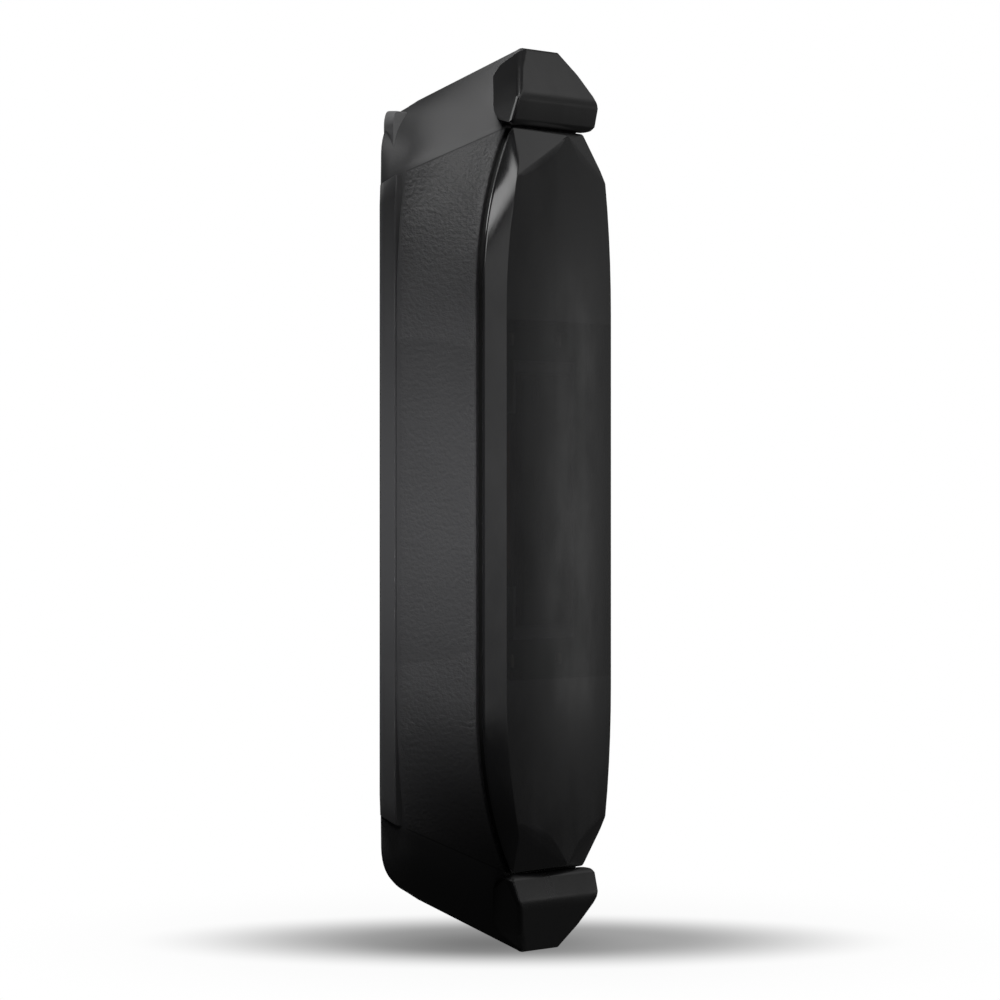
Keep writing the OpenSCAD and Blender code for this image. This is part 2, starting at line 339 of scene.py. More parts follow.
@dataclass(frozen=True)
class SparkedCase(Moulded):
    """Glass-filled nylon from a spark-eroded mould: gritty walls, satin ends and back edges, and a thin line
    of painted shade along the fold.
    """

    fold_up: float = FOLD_START
    fold_rate: float = FOLD_RATE
    rail_depth: float = 1.3
    # The thin line of painted shade along the fold: its width, roughness and mottle colour.
    fold_shade_line_mm: float = 0.09
    fold_shade_roughness: float = 0.7
    fold_shade_mottle: str = "0c0c0c"
    satin: float = 0.5

    def material(self) -> bpy.types.Material:
        """Build the material, with its grit only on the walls.

        Returns:
            The material.
        """
        material, tree, coords = start_material(self.name)
        split = add_node(tree, "ShaderNodeSeparateXYZ", links={0: coords})
        height = calc(tree, "ABSOLUTE", split.outputs["Z"])
        folded = calc(tree, "MULTIPLY_ADD", split.outputs["Y"], self.fold_rate, height)
        above = calc(tree, "GREATER_THAN", folded, self.fold_up * MM)
        behind = calc(tree, "GREATER_THAN", split.outputs["Y"], -self.rail_depth * MM)
        smooth = calc(tree, "MAXIMUM", above, behind)
        gritty = calc(tree, "SUBTRACT", 1.0, smooth)
        walls = self.shader(tree, coords, gritty)
        ends = Moulded(self.name, self.color, self.satin, self.ior, self.mottle, 0.15, 0.16, 0.006)
        skin = blend_shaders(tree, smooth, walls, ends.shader(tree, coords, None))
        # A thin dark line is painted along the fold on the walls. It is painted shade, standing in for a
        # small groove there.
        apart = calc(tree, "ABSOLUTE", calc(tree, "SUBTRACT", folded, self.fold_up * MM))
        near = calc(tree, "LESS_THAN", apart, self.fold_shade_line_mm * MM / 2)
        fold_shade = calc(tree, "MULTIPLY", near, calc(tree, "SUBTRACT", 1.0, behind))
        painted_shade = Moulded(
            self.name, self.mottle, self.fold_shade_roughness, self.ior, self.fold_shade_mottle, 0.2, 0.12, 0.002
        )
        end_material(tree, blend_shaders(tree, fold_shade, skin, painted_shade.shader(tree, coords, None)))
        return material


@dataclass(frozen=True)
class SmokedCover:
    """Smoked polycarbonate, polished, printed black inside all round a dark window."""

    name: str = "smoked_polycarbonate"
    color: str = "101011"
    worn_color: str = "1a1a1c"
    worn_share: float = 0.25
    tint: str = "c4c4c6"
    roughness: float = 0.2
    smear_mm: float = 5.0
    smear_roughness: Flat = (-0.05, 0.06)
    ripple_mm: float = 9.0
    ripple_depth_mm: float = 0.02
    ripple_strength: float = 0.3
    ior: float = 1.58
    window: Flat = (11.9, 10.4)
    back_depth: float = 6.12
    opacity: Flat = (0.45, 0.9)

    def material(self) -> bpy.types.Material:
        """Build the material: the print all over, but for a tinted pane with a clear back.

        Returns:
            The material.
        """
        material, tree, coords = start_material(self.name)
        split = add_node(tree, "ShaderNodeSeparateXYZ", links={0: coords})
        across = calc(tree, "LESS_THAN", calc(tree, "ABSOLUTE", split.outputs["X"]), self.window[0] * MM)
        along = calc(tree, "LESS_THAN", calc(tree, "ABSOLUTE", split.outputs["Z"]), self.window[1] * MM)
        inside = calc(tree, "MULTIPLY", across, along)
        under = calc(tree, "GREATER_THAN", split.outputs["Y"], -self.back_depth * MM)
        smears = grain(tree, coords, self.smear_mm, 4.0)
        low, high = (self.roughness + step for step in self.smear_roughness)
        rough = spread(tree, smears, low, high)
        ripples = grain(tree, coords, self.ripple_mm, 1.0)
        normal = bumps(tree, ripples, self.ripple_depth_mm, self.ripple_strength)
        worn = spread(tree, smears, 0.0, self.worn_share)
        color = two_tone(tree, worn, linear(self.color), linear(self.worn_color))
        links = {"Base Color": color, "Roughness": rough, "Normal": normal}
        printed = add_node(tree, "ShaderNodeBsdfPrincipled", None, {"IOR": self.ior}, links).outputs[0]
        tint = add_node(tree, "ShaderNodeBsdfTransparent", None, {"Color": linear(self.tint)}).outputs[0]
        clear = add_node(tree, "ShaderNodeBsdfTransparent").outputs[0]
        facing = add_node(tree, "ShaderNodeLayerWeight", None, {"Blend": 0.5})
        share = spread(tree, facing.outputs["Facing"], *self.opacity)
        pane = blend_shaders(tree, share, tint, printed)
        window = blend_shaders(tree, under, pane, clear)
        end_material(tree, blend_shaders(tree, inside, printed, window))
        return material


@dataclass(frozen=True)
class SheetMetal:
    """A rolled, drawn or turned metal, with fine lines along one axis and dull patches."""

    name: str
    color: str
    roughness: float
    line_mm: float = 0.08
    line_axis: int = 0
    tarnish: str = "6a6258"
    tarnish_share: float = 0.2
    line_stretch: float = 0.04
    line_depth_mm: float = 0.004
    patch_mm: float = 3.0

    def material(self) -> bpy.types.Material:
        """Build the material.

        Returns:
            The material.
        """
        material, tree, coords = start_material(self.name)
        stretch = [1.0, 1.0, 1.0]
        stretch[self.line_axis] = self.line_stretch
        mapped = add_node(tree, "ShaderNodeMapping", None, {"Scale": stretch}, {"Vector": coords})
        lines = grain(tree, mapped.outputs[0], self.line_mm, 2.0)
        patches = grain(tree, coords, self.patch_mm)
        share = spread(tree, patches, 0.0, self.tarnish_share)
        color = two_tone(tree, share, linear(self.color), linear(self.tarnish))
        rough = spread(tree, lines, self.roughness - 0.06, self.roughness + 0.1)
        normal = bumps(tree, lines, self.line_depth_mm, 0.5)
        links = {"Base Color": color, "Roughness": rough, "Normal": normal}
        shader = add_node(tree, "ShaderNodeBsdfPrincipled", None, {"Metallic": 1.0}, links)
        end_material(tree, shader.outputs[0])
        return material


@dataclass(frozen=True)
class MaskedBoard:
    """Glass laminate under green solder mask, with tracks raised beneath it."""

    name: str = "masked_board"
    color: str = "143d24"
    track: str = "1f5a34"
    track_mm: float = 0.9
    track_share: float = 0.09
    track_depth_mm: float = 0.02
    gloss: Flat = (0.28, 0.42)

    def material(self) -> bpy.types.Material:
        """Build the material.

        Returns:
            The material.
        """
        material, tree, coords = start_material(self.name)
        values = {"Scale": 1 / (self.track_mm * MM), "Randomness": 0.35}
        cells = add_node(
            tree, "ShaderNodeTexVoronoi", {"feature": "DISTANCE_TO_EDGE"}, values, {"Vector": coords}
        )
        tracks = calc(tree, "LESS_THAN", cells.outputs["Distance"], self.track_share)
        color = two_tone(tree, tracks, linear(self.color), linear(self.track))
        rough = spread(tree, grain(tree, coords, 2.0), *self.gloss)
        normal = bumps(tree, tracks, self.track_depth_mm, 0.6)
        links = {"Base Color": color, "Roughness": rough, "Normal": normal}
        shader = add_node(tree, "ShaderNodeBsdfPrincipled", None, {"IOR": 1.52}, links)
        end_material(tree, shader.outputs[0])
        return material


FINISHES = {
    "case": SparkedCase("sparked_nylon", "2b2b2c", 0.56, 1.53, "1e1e1f", 0.3, 0.23, 0.075),
    "hook": Moulded("polished_nylon", "101011", 0.3, 1.53, "1a1a1b", 0.3, 0.12, 0.0015),
    "cover": SmokedCover(),
    "gasket": Moulded("black_silicone", "080808", 0.7, 1.43, "101010", 0.3, 0.2, 0.006),
    "pad": Moulded("grip_rubber", "5c5c5d", 0.72, 1.52, "48484a", 0.4, 0.18, 0.02, 0.15),
    "door": Moulded("door_nylon", "29292a", 0.5, 1.53, "1c1c1d", 0.3, 0.22, 0.03),
    "seal": Moulded("nitrile_rubber", "7a3420", 0.45, 1.52, "5c2415", 0.4, 0.15, 0.004),
    "cell": SheetMetal("nickel_plate", "c4c5c2", 0.3, 0.06, 0),
    "natural_nylon": Moulded("natural_nylon", "ddd8c9", 0.42, 1.53, "c9c1ad", 0.5, 0.3, 0.006),
    "contact": SheetMetal("gold_flashed_bronze", "c9a24e", 0.28, 0.05, 2, "8a6a2c", 0.3),
    "film": Moulded("polyimide_film", "a8651c", 0.22, 1.7, "7d4510", 0.4, 0.5, 0.003),
    "board": MaskedBoard(),
    "screw": SheetMetal("zinc_plate", "9d9f9f", 0.36, 0.04, 0),
    "bezel": SheetMetal("bezel_sheet", "dcdee0", 0.45, 0.06, 2),
    "display": Moulded("display_glass", "3c423b", 0.3, 1.52, "333a33", 0.3, 0.3, 0.002),
    "chip": Moulded("moulded_epoxy", "161617", 0.5, 1.55, "202022", 0.5, 0.12, 0.01),
    "tin": SheetMetal("tinned_sheet", "b2b3b1", 0.32, 0.08, 0, "8b8a84", 0.3),
    "ceramic": Moulded("fired_ceramic", "d9d6cc", 0.5, 1.7, "c2bdaf", 0.4, 0.1, 0.004),
    "tan": Moulded("tan_ceramic", "8a7d64", 0.45, 1.7, "6f6350", 0.5, 0.1, 0.004),
    "resin": Moulded("capacitor_resin", "8f7a4c", 0.35, 1.55, "75613a", 0.5, 0.2, 0.006),
    "led": Moulded("clear_epoxy", "dfe4dc", 0.18, 1.55, "c8cfc4", 0.4, 0.2, 0.002),
}


class Rack:
    """The finishes, each made into a material once."""

    def __init__(self) -> None:
        """Start with nothing made."""
        self.made: dict[str, bpy.types.Material] = {}

    def get(self, finish: str) -> bpy.types.Material:
        """The material of a finish, made on first use.

        Args:
            finish: Its name.

        Returns:
            Its material.
        """
        if finish not in self.made:
            self.made[finish] = FINISHES[finish].material()
        return self.made[finish]


# ---------------------------------------------------------------- bench


def place(across: float, depth: float, up: float) -> Vector:
    """A point given as (across, depth, up) in millimetres, in the frame's metres."""
    return Vector((across, -depth, up)) * MM


def deselect() -> None:
    """Leave edit mode and select nothing."""
    if bpy.context.object and bpy.context.object.mode != "OBJECT":
        bpy.ops.object.mode_set(mode="OBJECT")
    bpy.ops.object.select_all(action="DESELECT")


def hold(piece: bpy.types.Object) -> None:
    """Select one object alone and make it active.

    Args:
        piece: The object.
    """
    deselect()
    piece.select_set(True)
    bpy.context.view_layer.objects.active = piece


def name_piece(name: str) -> bpy.types.Object:
    """Name the object that was just added, and its mesh.

    Args:
        name: The name.

    Returns:
        The object.
    """
    piece = bpy.context.object
    piece.name = name
    piece.data.name = name
    return piece


def settle(piece: bpy.types.Object) -> None:
    """Put the piece's place into its mesh."""
    hold(piece)
    bpy.ops.object.transform_apply(location=True, rotation=True, scale=True)


def tidy(piece: bpy.types.Object) -> None:
    """Merge doubled points and turn every face outwards.

    Args:
        piece: The piece.
    """
    hold(piece)
    bpy.ops.object.mode_set(mode="EDIT")
    bpy.ops.mesh.select_all(action="SELECT")
    bpy.ops.mesh.remove_doubles(threshold=MERGE_DISTANCE)
    bpy.ops.mesh.normals_make_consistent(inside=False)
    bpy.ops.object.mode_set(mode="OBJECT")


def apply_modifier(piece: bpy.types.Object, kind: str, **settings: object) -> None:
    """Add a modifier and apply it.

    Args:
        piece: The piece.
        kind: The modifier's type.
        settings: Its settings.
    """
    hold(piece)
    modifier = piece.modifiers.new(kind.lower(), kind)
    for name, value in settings.items():
        setattr(modifier, name, value)
    bpy.ops.object.modifier_apply(modifier=modifier.name)


def round_edges(piece: bpy.types.Object, width_mm: float, segments: int = 2, angle: float = 30) -> None:
    """Round the piece's edges that turn by more than an angle.

    Args:
        piece: The piece.
        width_mm: The rounding's width.
        segments: Its facets.
        angle: The angle, in degrees.
    """
    apply_modifier(
        piece,
        "BEVEL",
        width=width_mm * MM,
        segments=segments,
        limit_method="ANGLE",
        angle_limit=math.radians(angle),
        use_clamp_overlap=True,
    )


def round_chosen(
    piece: bpy.types.Object, chosen: Callable[[Vector, Vector], bool], width_mm: float, segments: int
) -> None:
    """Round the edges whose two ends pass a test.

    Args:
        piece: The piece.
        chosen: The test of an edge's two ends, in millimetres as (across, depth, up).
        width_mm: The rounding's width.
        segments: Its facets.
    """
    hold(piece)
    bpy.ops.object.mode_set(mode="EDIT")
    bpy.ops.mesh.select_mode(type="EDGE")
    bpy.ops.mesh.select_all(action="DESELECT")
    bpy.ops.object.mode_set(mode="OBJECT")
    points = [Vector((v.co.x, -v.co.y, v.co.z)) / MM for v in piece.data.vertices]
    for edge in piece.data.edges:
        edge.select = chosen(*(points[k] for k in edge.vertices))
    bpy.ops.object.mode_set(mode="EDIT")
    bpy.ops.mesh.bevel(offset=width_mm * MM, segments=segments, affect="EDGES", clamp_overlap=True)
    bpy.ops.object.mode_set(mode="OBJECT")


def shade(piece: bpy.types.Object, angle: float = 30) -> None:
    """Shade large facets flat and the roundings between them smooth.

    Args:
        piece: The piece.
        angle: Edges that turn by more than this, in degrees, stay sharp.
    """
    hold(piece)
    bpy.ops.object.shade_smooth_by_angle(angle=math.radians(angle))
    apply_modifier(piece, "WEIGHTED_NORMAL", keep_sharp=True, weight=100)


def cut(piece: bpy.types.Object, cutter: bpy.types.Object) -> None:
    """Take a cutter's shape out of the piece, and throw the cutter away."""
    apply_modifier(piece, "BOOLEAN", operation="DIFFERENCE", object=cutter, solver="EXACT")
    bpy.data.objects.remove(cutter, do_unlink=True)


def draw_skin(name: str, rings: Sequence[Sequence[Point]], cap_ends: bool = True) -> bpy.types.Object:
    """Draw a closed skin through rings of points.

    Args:
        name: The piece's name.
        rings: Rings with the same number of points each.
        cap_ends: Whether the first and last rings are filled.

    Returns:
        The piece.
    """
    count, steps = len(rings[0]), len(rings)
    deselect()
    bpy.ops.mesh.primitive_grid_add(x_subdivisions=count, y_subdivisions=steps - 1, size=1)
    piece = name_piece(name)
    for j, ring in enumerate(rings):
        for i in range(count + 1):
            piece.data.vertices[j * (count + 1) + i].co = place(*ring[i % count])
    bpy.ops.object.mode_set(mode="EDIT")
    bpy.ops.mesh.select_all(action="SELECT")
    bpy.ops.mesh.remove_doubles(threshold=MERGE_DISTANCE)
    if cap_ends:
        bpy.ops.mesh.select_all(action="DESELECT")
        bpy.ops.mesh.select_mode(type="EDGE")
        bpy.ops.mesh.select_non_manifold()
        bpy.ops.mesh.edge_face_add()
    bpy.ops.object.mode_set(mode="OBJECT")
    tidy(piece)
    return piece


def wrap_points(name: str, points: Sequence[Point]) -> bpy.types.Object:
    """Stretch a skin over points: their convex hull, with flat facets joined.

    Args:
        name: The piece's name.
        points: The points.

    Returns:
        The piece.
    """
    deselect()
    bpy.ops.mesh.primitive_grid_add(x_subdivisions=len(points) - 1, y_subdivisions=1, size=1)
    piece = name_piece(name)
    for i, vertex in enumerate(piece.data.vertices):
        vertex.co = place(*points[i % len(points)])
    bpy.ops.object.mode_set(mode="EDIT")
    bpy.ops.mesh.select_all(action="SELECT")
    bpy.ops.mesh.convex_hull()
    bpy.ops.mesh.select_all(action="SELECT")
    bpy.ops.mesh.remove_doubles(threshold=MERGE_DISTANCE)
    bpy.ops.mesh.dissolve_limited(angle_limit=math.radians(FLAT_WITHIN))
    bpy.ops.object.mode_set(mode="OBJECT")
    tidy(piece)
    return piece


def turn(name: str, profile: Sequence[Flat], steps: int = 96) -> bpy.types.Object:
    """Turn a closed profile about the pod's depth axis, as on a lathe.

    Args:
        name: The piece's name.
        profile: Points as (radius, depth), in order.
        steps: Facets in the full turn.

    Returns:
        The piece.
    """
    deselect()
    bpy.ops.mesh.primitive_circle_add(vertices=len(profile), radius=1, fill_type="NOTHING")
    piece = name_piece(name)
    for vertex, (radius, depth) in zip(piece.data.vertices, profile):
        vertex.co = place(radius, depth, 0)
    bpy.ops.object.mode_set(mode="EDIT")
    bpy.ops.mesh.select_all(action="SELECT")
    bpy.ops.mesh.spin(steps=steps, angle=FULL_TURN, center=(0, 0, 0), axis=(0, 1, 0))
    bpy.ops.object.mode_set(mode="OBJECT")
    tidy(piece)
    return piece


def rod(name: str, radius: float, depths: Flat, at: Flat = (0.0, 0.0), facets: int = 48) -> bpy.types.Object:
    """Make a round bar along the depth axis.

    Args:
        name: The piece's name.
        radius: Its radius.
        depths: The depths of its ends.
        at: Its axis, as (across, up).
        facets: Its facets.

    Returns:
        The piece.
    """
    deselect()
    middle = place(at[0], sum(depths) / 2, at[1])
    bpy.ops.mesh.primitive_cylinder_add(
        vertices=facets,
        radius=radius * MM,
        depth=abs(depths[1] - depths[0]) * MM,
        location=middle,
        rotation=(math.pi / 2, 0, 0),
    )
    piece = name_piece(name)
    settle(piece)
    return piece


def slab(name: str, low: Point, high: Point) -> bpy.types.Object:
    """Make a block between two corners.

    Args:
        name: The piece's name.
        low: Its corner with the lowest values.
        high: Its corner with the highest values.

    Returns:
        The piece.
    """
    deselect()
    a, b = place(*low), place(*high)
    bpy.ops.mesh.primitive_cube_add(size=1, location=(a + b) / 2)
    piece = name_piece(name)
    piece.scale = [abs(b[k] - a[k]) for k in range(3)]
    settle(piece)
    return piece


def quarter_to_full(quarter: Sequence[Flat]) -> list[Flat]:
    """Mirror an outline's first quarter into the whole.

    Args:
        quarter: Its points, from the side to the top.

    Returns:
        The whole outline, anticlockwise.
    """
    back = list(reversed(quarter))
    return (
        list(quarter)
        + [(-x, z) for x, z in back[1:]]
        + [(-x, -z) for x, z in quarter[1:]]
        + [(x, -z) for x, z in back[1:-1]]
    )


def finish_piece(
    piece: bpy.types.Object,
    rack: Rack,
    finish: str,
    body: Body,
    nodes: Sequence[str],
) -> None:
    """Dress a piece, let it ride on its body and stand for its nodes.

    Args:
        piece: The piece.
        rack: The finishes.
        finish: The finish that it takes.
        body: The body that it rides on.
        nodes: The nodes that it stands for.
    """
    piece.data.materials.clear()
    piece.data.materials.append(rack.get(finish))
    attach(piece, body.value)
    if nodes:
        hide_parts(*nodes)
    LOG.info("%s: %d faces", piece.name, len(piece.data.polygons))


def hoop(name: str, outer: Sequence[Flat], inner: Sequence[Flat], depths: Flat) -> bpy.types.Object:
    """Make a closed band between two outlines and two depths.

    Args:
        name: The piece's name.
        outer: Its outer outline.
        inner: Its inner outline, with as many points.
        depths: Its two depths.

    Returns:
        The piece.
    """
    low, high = depths
    sides = ((outer, low), (outer, high), (inner, high), (inner, low), (outer, low))
    return draw_skin(name, [[(x, depth, z) for x, z in side] for side, depth in sides], False)


# ---------------------------------------------------------------- shared outlines


@dataclass
class PodShape:
    """The outlines that the case, the gasket and the cover share."""

    half_len: float
    hook_reach: float = 4.75
    rim_half: float = 14.6
    rim_start: float = 12.0
    rim_rate: float = 0.0506
    rim_power: float = 2.13
    rim_depth: float = 5.8
    side_steps: int = 8
    rim_steps: int = 16
    neck_steps: int = 20
    ridge_steps: int = 4

    @property
    def rim_top(self) -> float:
        """Height at which the rim's curve ends."""
        return self.half_len - self.hook_reach

    def rim_point(self, up: float, inset: float = 0.0) -> Flat:
        """A point of the rim's curve, moved in square to the curve.

        Args:
            up: Its height before the inset.
            inset: How far it is moved in.

        Returns:
            The point.
        """
        rise = max(0.0, up - self.rim_start)
        slope = self.rim_rate * self.rim_power * rise ** (self.rim_power - 1)
        step = inset / math.hypot(1, slope)
        across = self.rim_half - self.rim_rate * rise**self.rim_power - step
        return across, min(up - step * slope, self.rim_top - inset)

    def rim_side(self, inset: float) -> list[Flat]:
        """Draw the rim from the middle of the side to the end of its curve.

        Args:
            inset: How far it is moved in.

        Returns:
            Its points.
        """
        rise = self.rim_top - self.rim_start
        heights = [self.rim_start * i / self.side_steps for i in range(self.side_steps)]
        heights += [self.rim_start + rise * i / self.rim_steps for i in range(self.rim_steps + 1)]
        return [self.rim_point(up, inset) for up in heights]

    def rim_outline(self, inset: float) -> list[Flat]:
        """The whole rim, with flat ends."""
        return quarter_to_full(self.rim_side(inset) + [(0.0, self.rim_top - inset)])


# ---------------------------------------------------------------- case


@dataclass
class Case:
    """The rear case: textured walls, end slopes, strap hooks, rails and the door's well."""

    shape: PodShape
    rack: Rack
    back_edge: Sequence[Flat] = ((0.08, 0.3), (0.16, 0.13), (0.32, 0.04), (0.55, 0.0), (1.15, 0.0))
    rim_edge: Sequence[Flat] = ((0.22, 0.0), (0.13, 0.02), (0.05, 0.08), (0.0, 0.2))
    wall_steps: int = 12
    back_half: float = 14.9
    wall: float = 1.35
    floor: float = 1.4
    fold_start: float = FOLD_START
    corner_start: float = 19.8
    corner: Flat = (15.0, 22.45)
    shoulder: Flat = (8.6, 22.8)
    ridge_front: Flat = (4.1, 26.35)
    bulge_fade: float = 5.0
    bore: float = 12.0
    bore_depth: float = 1.35
    thread_bore: float = 11.65
    well: float = 13.4
    well_top: float = 3.6
    ledge: float = 11.05
    ledge_depth: float = 1.4
    ledge_height: float = 0.5
    lead: float = 6.0
    lugs: int = 3
    lug_span: float = 50.0
    boss_radius: float = 1.5
    boss_top: float = 4.74
    pilot_radius: float = 0.52
    pilot_depth: float = 2.6
    rail_profile: Sequence[Flat] = (
        (13.9, 0.09),
        (14.8, 0.09),
        (14.96, 0.2),
        (15.0, 0.4),
        (15.0, 1.05),
        (14.94, 1.12),
        (13.9, 1.2),
    )
    rail_root: float = 14.2
    rail_len: float = 18.05
    rail_taper: float = 1.2
    rail_proud: float = 0.14
    fold_rate: float = FOLD_RATE
    screws: Flat = (9.8, 15.4)
    lip_front: Sequence[Point] = ((3.7, 5.75, 0.0), (6.5, 6.3, 1.3), (9.2, 6.97, 3.05), (9.6, 6.55, 4.83))
    lip_root: Sequence[Point] = (
        (4.2, 5.3, 0.5),
        (5.2, 4.5, 1.25),
        (5.75, 4.25, 1.8),
        (7.4, 4.65, 3.76),
        (7.7, 4.95, 4.4),
        (7.7, 5.65, 4.83),
    )
    lip_clear: float = 5.6
    slot: str = "case_plastic"

    def back_neck(self) -> list[Flat]:
        """Draw the back's outline from the fold to the ridge.

        Returns:
            Its points, at even distances.
        """
        start = (self.back_half, self.corner_start)
        bend = []
        for i in range(25):
            t = i / 24
            bend.append(blend(blend(start, self.corner, t), blend(self.corner, self.shoulder, t), t))
        return spread_along([(self.back_half, self.fold_start), *bend], self.shape.neck_steps)

    def quarter(self, depth: float) -> list[Flat]:
        """Draw the outline's first quarter: a blend of the back's and the rim's.

        Args:
            depth: The depth.

        Returns:
            Its points, from the side to the top.
        """
        shape = self.shape
        t = depth / shape.rim_depth
        rim = shape.rim_side(0.0)
        back = [(self.back_half, self.fold_start * r[1] / shape.rim_top) for r in rim]
        front_neck = spread_along([rim[-1], self.ridge_front], shape.neck_steps)
        back_neck = self.back_neck()
        back_chord = spread_along([back_neck[0], back_neck[-1]], shape.neck_steps)
        bulge = (1 - t) ** self.bulge_fade
        sides = [blend(b, r, t) for b, r in zip(back[:-1], rim[:-1])]
        necks = []
        for chord, bent, front in zip(back_chord, back_neck, front_neck):
            x, z = blend(chord, front, t)
            necks.append((x + (bent[0] - chord[0]) * bulge, z + (bent[1] - chord[1]) * bulge))
        ridge = necks[-1]
        flat = [(ridge[0] * (1 - i / shape.ridge_steps), ridge[1]) for i in range(1, shape.ridge_steps + 1)]
        return sides + necks + flat

    def ring(self, depth: float, inset: float = 0.0) -> list[Point]:
        """Draw the whole outline at a depth.

        Args:
            depth: The depth.
            inset: How far it is moved in.

        Returns:
            Its points.
        """
        outline = quarter_to_full(self.quarter(depth))
        moved = inset_outline(outline, inset) if inset else outline
        return [(x, depth, z) for x, z in moved]

    def cavity_ring(self, depth: float, inset: float) -> list[Point]:
        """Draw the cavity's outline, with as many points as the outer one.

        Args:
            depth: The depth.
            inset: How far it is moved in from the rim.

        Returns:
            Its points.
        """
        shape = self.shape
        side = shape.rim_side(inset)
        end = side[-1]
        top = shape.rim_top - inset
        rest = shape.neck_steps + shape.ridge_steps
        flat = [(end[0] * (1 - i / rest), end[1] + (top - end[1]) * i / rest) for i in range(1, rest + 1)]
        return [(x, depth, z) for x, z in quarter_to_full(side + flat)]

    def build_shell(self) -> None:
        """The outer shell, with the pad's recess and the door's bore cut in its back."""
        rim = self.shape.rim_depth
        start, end = self.back_edge[-1][0], rim - self.rim_edge[0][0]
        walls = [(start + (end - start) * i / self.wall_steps, 0.0) for i in range(1, self.wall_steps)]
        edge = [(rim - below, inset) for below, inset in self.rim_edge]
        rings = [self.ring(depth, inset) for depth, inset in [*self.back_edge, *walls, *edge]]
        rings += [self.cavity_ring(depth, self.wall) for depth in (rim, self.floor)]
        shell = draw_skin("case_shell", rings)
        cut(shell, rod("cutter", self.bore, (-1, self.bore_depth), facets=128))
        cut(shell, rod("cutter", self.thread_bore, (self.bore_depth - 0.3, self.floor + 1), facets=128))
        cut(shell, PadShape(self.shape.half_len).recess())
        shade(shell, 26)
        finish_piece(shell, self.rack, "case", Body.POD, ["rear_case"])

    def build_well(self) -> None:
        """The ring round the door's bore, with its helical ledges, and the screw bosses."""
        top, bottom = self.well_top, self.floor - 0.1
        profile = [
            (self.thread_bore, bottom),
            (self.thread_bore, top - 0.15),
            (self.thread_bore + 0.15, top),
            (self.well - 0.15, top),
            (self.well, top - 0.15),
            (self.well, bottom),
        ]
        well = turn("case_well", profile, 128)
        shade(well)
        finish_piece(well, self.rack, "case", Body.POD, ["rear_case"])
        for k in range(self.lugs):
            ledge = thread_strip(
                f"door_ledge_{k + 1}",
                (self.ledge, self.thread_bore + 0.1),
                (self.ledge_depth, self.ledge_height),
                (360 * k / self.lugs, self.lug_span),
                self.lead,
            )
            finish_piece(ledge, self.rack, "case", Body.POD, ["rear_case"])
        for k, (sx, sz) in enumerate([(-1, -1), (1, -1), (1, 1), (-1, 1)]):
            at = (sx * self.screws[0], sz * self.screws[1])
            boss = rod(f"case_boss_{k + 1}", self.boss_radius, (self.floor - 0.1, self.boss_top), at)
            cut(boss, rod("cutter", self.pilot_radius, (self.pilot_depth, self.boss_top + 1), at, 24))
            round_edges(boss, 0.12, 2, 40)
            shade(boss)
            finish_piece(boss, self.rack, "case", Body.POD, ["rear_case"])

    def build_rails(self) -> None:
        """The rails that stand out a little along the back edges."""
        for side in Side:
            s = side.value
            rings = []
            full = self.rail_len - self.rail_taper
            for up in (-self.rail_len, -full, full, self.rail_len):
                shrink = self.rail_proud if abs(up) == self.rail_len else 0.0
                slant = math.copysign(self.fold_rate, up)
                ring = []
                for across, depth in self.rail_profile:
                    trim = shrink if across > self.rail_root else 0.0
                    ring.append((s * (across - trim), depth, up + slant * depth))
                rings.append(ring)
            rail = draw_skin(f"{side.name.lower()}_edge_rail", rings)
            round_edges(rail, 0.05, 2, 20)
            shade(rail)
            finish_piece(rail, self.rack, "case", Body.POD, ["rear_case"])

    def build_hook(self, end: End) -> None:
        """Build a strap hook's lip, with its flared ears.

        Its points are given as (across, depth, fall below the pod's end).

        Args:
            end: The end that it is at.
        """
        top = self.shape.half_len
        corners = []
        for across, depth, fall in [*self.lip_front, *self.lip_root]:
            corners += [(s * across, depth, end.value * (top - fall)) for s in (-1, 1)]
        lip = wrap_points(f"{end.name.lower()}_hook_lip", corners)

        def front_edge(a: Vector, b: Vector) -> bool:
            """True on the edges of the lip that stand clear of the case."""
            return min(a.y, b.y) > self.lip_clear

        round_chosen(lip, front_edge, 0.4, 5)
        shade(lip, 24)
        finish_piece(lip, self.rack, "hook", Body.POD, ["rear_case"])

    def build(self) -> None:
        """Build all of the case."""
        self.build_shell()
        self.build_well()
        self.build_rails()
        for end in End:
            self.build_hook(end)


def blend(a: Flat, b: Flat, t: float) -> Flat:
    """The point a share t of the way from a to b."""
    return a[0] + (b[0] - a[0]) * t, a[1] + (b[1] - a[1]) * t


def spread_along(path: Sequence[Flat], steps: int) -> list[Flat]:
    """Put points at even distances along a path.

    Args:
        path: The path's corners.
        steps: How many equal steps it is cut into.

    Returns:
        The steps' ends, the path's own ends included.
    """
    lengths = [math.dist(a, b) for a, b in zip(path, path[1:])]
    total = sum(lengths)
    out = []
    for i in range(steps + 1):
        left = total * i / steps
        k = 0
        while k < len(lengths) - 1 and left > lengths[k]:
            left -= lengths[k]
            k += 1
        out.append(blend(path[k], path[k + 1], min(1.0, left / lengths[k])))
    return out


def inset_outline(outline: Sequence[Flat], inset: float) -> list[Flat]:
    """Move an outline's points in, each square to its neighbours.

    Args:
        outline: The outline, anticlockwise.
        inset: How far its points move.

    Returns:
        The moved outline.
    """
    out = []
    count = len(outline)
    for i, (x, z) in enumerate(outline):
        before, after = outline[i - 1], outline[(i + 1) % count]
        dx, dz = after[0] - before[0], after[1] - before[1]
        size = math.hypot(dx, dz) or 1.0
        out.append((x - inset * dz / size, z + inset * dx / size))
    return out


